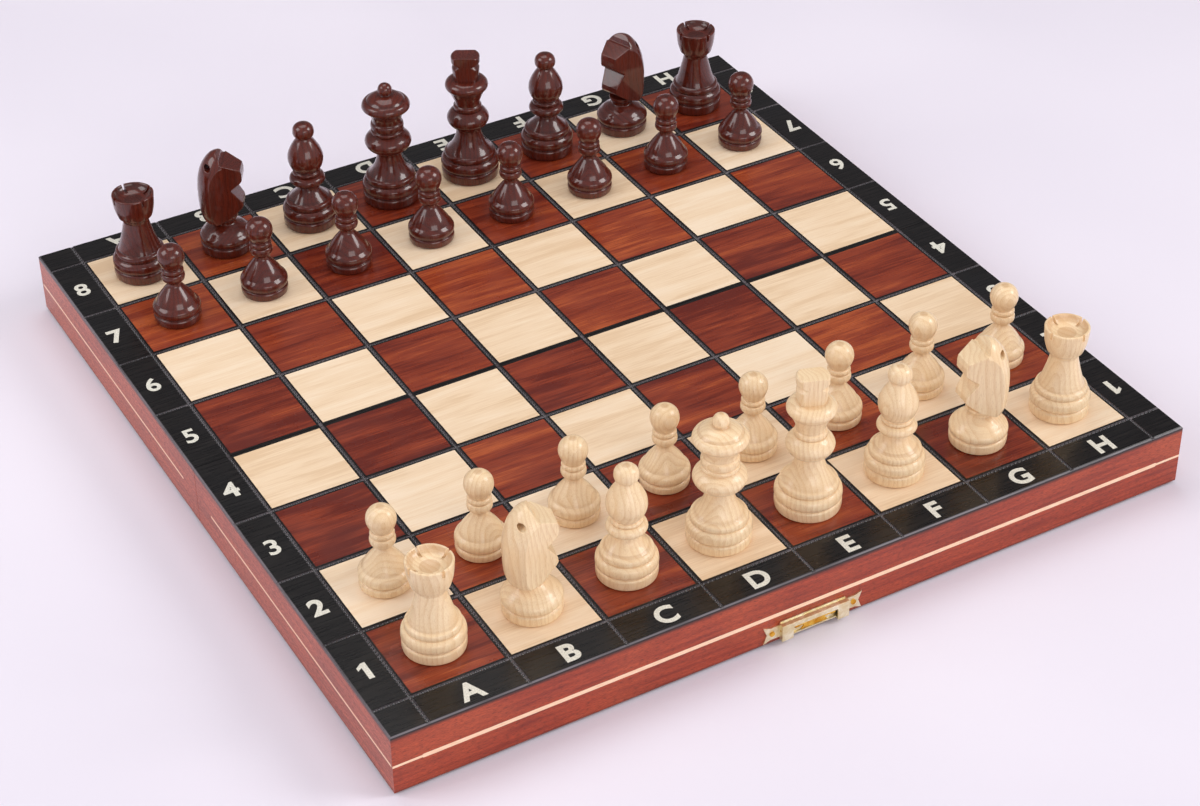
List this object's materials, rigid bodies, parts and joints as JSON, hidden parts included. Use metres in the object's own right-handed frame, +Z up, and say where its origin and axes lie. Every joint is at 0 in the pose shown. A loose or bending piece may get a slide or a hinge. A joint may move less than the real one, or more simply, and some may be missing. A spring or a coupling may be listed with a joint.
{
  "type": "folding chess set",
  "caption": "Folding wooden chess board that closes into a case for its pieces, with brass hinges and clasp and a full set of turned wooden chessmen.",
  "frame": {"origin": "centre of the open board in plan, on the table plane that the hinge barrels touch", "axes": "+X from file a to file h, +Y from rank 1 (white, clasp side) to rank 8, +Z up out of the playing surface"},
  "size_m": [0.35, 0.3558, 0.0894],
  "materials": {
    "plywood": "matte birch plywood",
    "light_veneer": "lacquered maple veneer",
    "dark_veneer": "glossy stained mahogany veneer",
    "black_border": "semi-gloss black stained wood",
    "case_wood": "satin red-brown stained wood",
    "maple_inlay": "satin maple strip",
    "pale_brass": "stamped pale brass",
    "gold_brass": "golden brass",
    "light_piece_wood": "lacquered hornbeam",
    "dark_piece_wood": "glossy dark red-brown stained hornbeam"
  },
  "bodies": {
    "front_half": {"front_panel_core": "plywood", "front_light_squares": "light_veneer", "front_dark_squares": "dark_veneer", "front_border": "black_border", "front_end_wall": "case_wood", "front_side_walls": "case_wood", "front_hinge_wall": "case_wood", "front_inlays": "maple_inlay", "hinge_front_leaves": "pale_brass", "hinge_pins": "gold_brass", "front_nails": "gold_brass", "clasp_plate": "pale_brass", "clasp_lever_pin": "gold_brass"},
    "rear_half": {"rear_panel_core": "plywood", "rear_light_squares": "light_veneer", "rear_dark_squares": "dark_veneer", "rear_border": "black_border", "rear_end_wall": "case_wood", "rear_side_walls": "case_wood", "rear_hinge_wall": "case_wood", "rear_inlays": "maple_inlay", "hinge_rear_leaves": "pale_brass", "rear_nails": "gold_brass", "hasp_plate": "pale_brass", "hasp_pin": "gold_brass"},
    "clasp_lever": {"clasp_lever": "gold_brass"},
    "hasp": {"hasp": "pale_brass"},
    "white_rook_a": {"white_rook_a": "light_piece_wood"},
    "white_knight_b": {"white_knight_b": "light_piece_wood"},
    "white_bishop_c": {"white_bishop_c": "light_piece_wood"},
    "white_queen": {"white_queen": "light_piece_wood"},
    "white_king": {"white_king": "light_piece_wood"},
    "white_bishop_f": {"white_bishop_f": "light_piece_wood"},
    "white_knight_g": {"white_knight_g": "light_piece_wood"},
    "white_rook_h": {"white_rook_h": "light_piece_wood"},
    "white_pawn_a": {"white_pawn_a": "light_piece_wood"},
    "white_pawn_b": {"white_pawn_b": "light_piece_wood"},
    "white_pawn_c": {"white_pawn_c": "light_piece_wood"},
    "white_pawn_d": {"white_pawn_d": "light_piece_wood"},
    "white_pawn_e": {"white_pawn_e": "light_piece_wood"},
    "white_pawn_f": {"white_pawn_f": "light_piece_wood"},
    "white_pawn_g": {"white_pawn_g": "light_piece_wood"},
    "white_pawn_h": {"white_pawn_h": "light_piece_wood"},
    "black_rook_a": {"black_rook_a": "dark_piece_wood"},
    "black_knight_b": {"black_knight_b": "dark_piece_wood"},
    "black_bishop_c": {"black_bishop_c": "dark_piece_wood"},
    "black_queen": {"black_queen": "dark_piece_wood"},
    "black_king": {"black_king": "dark_piece_wood"},
    "black_bishop_f": {"black_bishop_f": "dark_piece_wood"},
    "black_knight_g": {"black_knight_g": "dark_piece_wood"},
    "black_rook_h": {"black_rook_h": "dark_piece_wood"},
    "black_pawn_a": {"black_pawn_a": "dark_piece_wood"},
    "black_pawn_b": {"black_pawn_b": "dark_piece_wood"},
    "black_pawn_c": {"black_pawn_c": "dark_piece_wood"},
    "black_pawn_d": {"black_pawn_d": "dark_piece_wood"},
    "black_pawn_e": {"black_pawn_e": "dark_piece_wood"},
    "black_pawn_f": {"black_pawn_f": "dark_piece_wood"},
    "black_pawn_g": {"black_pawn_g": "dark_piece_wood"},
    "black_pawn_h": {"black_pawn_h": "dark_piece_wood"}
  },
  "joints": [
    {"name": "board_fold", "type": "hinge", "parent": "front_half", "child": "rear_half", "pos_m": [0, 0, 0.00125], "axis": [-1, 0, 0], "range_deg": [0, 180]},
    {"name": "clasp_lever_press", "type": "hinge", "parent": "front_half", "child": "clasp_lever", "pos_m": [0, -0.1766, 0.00665], "axis": [-1, 0, 0], "range_deg": [0, 7], "stiffness_Nm_per_rad": 0.002},
    {"name": "hasp_swing", "type": "hinge", "parent": "rear_half", "child": "hasp", "pos_m": [0, 0.1769, 0.00345], "axis": [-1, 0, 0], "range_deg": [0, 170]},
    {"name": "white_rook_a_lift", "type": "slide", "parent": "front_half", "child": "white_rook_a", "axis": [0, 0, 1], "range_m": [0, 0.08]},
    {"name": "white_knight_b_lift", "type": "slide", "parent": "front_half", "child": "white_knight_b", "axis": [0, 0, 1], "range_m": [0, 0.08]},
    {"name": "white_bishop_c_lift", "type": "slide", "parent": "front_half", "child": "white_bishop_c", "axis": [0, 0, 1], "range_m": [0, 0.08]},
    {"name": "white_queen_lift", "type": "slide", "parent": "front_half", "child": "white_queen", "axis": [0, 0, 1], "range_m": [0, 0.08]},
    {"name": "white_king_lift", "type": "slide", "parent": "front_half", "child": "white_king", "axis": [0, 0, 1], "range_m": [0, 0.08]},
    {"name": "white_bishop_f_lift", "type": "slide", "parent": "front_half", "child": "white_bishop_f", "axis": [0, 0, 1], "range_m": [0, 0.08]},
    {"name": "white_knight_g_lift", "type": "slide", "parent": "front_half", "child": "white_knight_g", "axis": [0, 0, 1], "range_m": [0, 0.08]},
    {"name": "white_rook_h_lift", "type": "slide", "parent": "front_half", "child": "white_rook_h", "axis": [0, 0, 1], "range_m": [0, 0.08]},
    {"name": "white_pawn_a_lift", "type": "slide", "parent": "front_half", "child": "white_pawn_a", "axis": [0, 0, 1], "range_m": [0, 0.08]},
    {"name": "white_pawn_b_lift", "type": "slide", "parent": "front_half", "child": "white_pawn_b", "axis": [0, 0, 1], "range_m": [0, 0.08]},
    {"name": "white_pawn_c_lift", "type": "slide", "parent": "front_half", "child": "white_pawn_c", "axis": [0, 0, 1], "range_m": [0, 0.08]},
    {"name": "white_pawn_d_lift", "type": "slide", "parent": "front_half", "child": "white_pawn_d", "axis": [0, 0, 1], "range_m": [0, 0.08]},
    {"name": "white_pawn_e_lift", "type": "slide", "parent": "front_half", "child": "white_pawn_e", "axis": [0, 0, 1], "range_m": [0, 0.08]},
    {"name": "white_pawn_f_lift", "type": "slide", "parent": "front_half", "child": "white_pawn_f", "axis": [0, 0, 1], "range_m": [0, 0.08]},
    {"name": "white_pawn_g_lift", "type": "slide", "parent": "front_half", "child": "white_pawn_g", "axis": [0, 0, 1], "range_m": [0, 0.08]},
    {"name": "white_pawn_h_lift", "type": "slide", "parent": "front_half", "child": "white_pawn_h", "axis": [0, 0, 1], "range_m": [0, 0.08]},
    {"name": "black_rook_a_lift", "type": "slide", "parent": "rear_half", "child": "black_rook_a", "axis": [0, 0, 1], "range_m": [0, 0.08]},
    {"name": "black_knight_b_lift", "type": "slide", "parent": "rear_half", "child": "black_knight_b", "axis": [0, 0, 1], "range_m": [0, 0.08]},
    {"name": "black_bishop_c_lift", "type": "slide", "parent": "rear_half", "child": "black_bishop_c", "axis": [0, 0, 1], "range_m": [0, 0.08]},
    {"name": "black_queen_lift", "type": "slide", "parent": "rear_half", "child": "black_queen", "axis": [0, 0, 1], "range_m": [0, 0.08]},
    {"name": "black_king_lift", "type": "slide", "parent": "rear_half", "child": "black_king", "axis": [0, 0, 1], "range_m": [0, 0.08]},
    {"name": "black_bishop_f_lift", "type": "slide", "parent": "rear_half", "child": "black_bishop_f", "axis": [0, 0, 1], "range_m": [0, 0.08]},
    {"name": "black_knight_g_lift", "type": "slide", "parent": "rear_half", "child": "black_knight_g", "axis": [0, 0, 1], "range_m": [0, 0.08]},
    {"name": "black_rook_h_lift", "type": "slide", "parent": "rear_half", "child": "black_rook_h", "axis": [0, 0, 1], "range_m": [0, 0.08]},
    {"name": "black_pawn_a_lift", "type": "slide", "parent": "rear_half", "child": "black_pawn_a", "axis": [0, 0, 1], "range_m": [0, 0.08]},
    {"name": "black_pawn_b_lift", "type": "slide", "parent": "rear_half", "child": "black_pawn_b", "axis": [0, 0, 1], "range_m": [0, 0.08]},
    {"name": "black_pawn_c_lift", "type": "slide", "parent": "rear_half", "child": "black_pawn_c", "axis": [0, 0, 1], "range_m": [0, 0.08]},
    {"name": "black_pawn_d_lift", "type": "slide", "parent": "rear_half", "child": "black_pawn_d", "axis": [0, 0, 1], "range_m": [0, 0.08]},
    {"name": "black_pawn_e_lift", "type": "slide", "parent": "rear_half", "child": "black_pawn_e", "axis": [0, 0, 1], "range_m": [0, 0.08]},
    {"name": "black_pawn_f_lift", "type": "slide", "parent": "rear_half", "child": "black_pawn_f", "axis": [0, 0, 1], "range_m": [0, 0.08]},
    {"name": "black_pawn_g_lift", "type": "slide", "parent": "rear_half", "child": "black_pawn_g", "axis": [0, 0, 1], "range_m": [0, 0.08]},
    {"name": "black_pawn_h_lift", "type": "slide", "parent": "rear_half", "child": "black_pawn_h", "axis": [0, 0, 1], "range_m": [0, 0.08]}
  ]
}
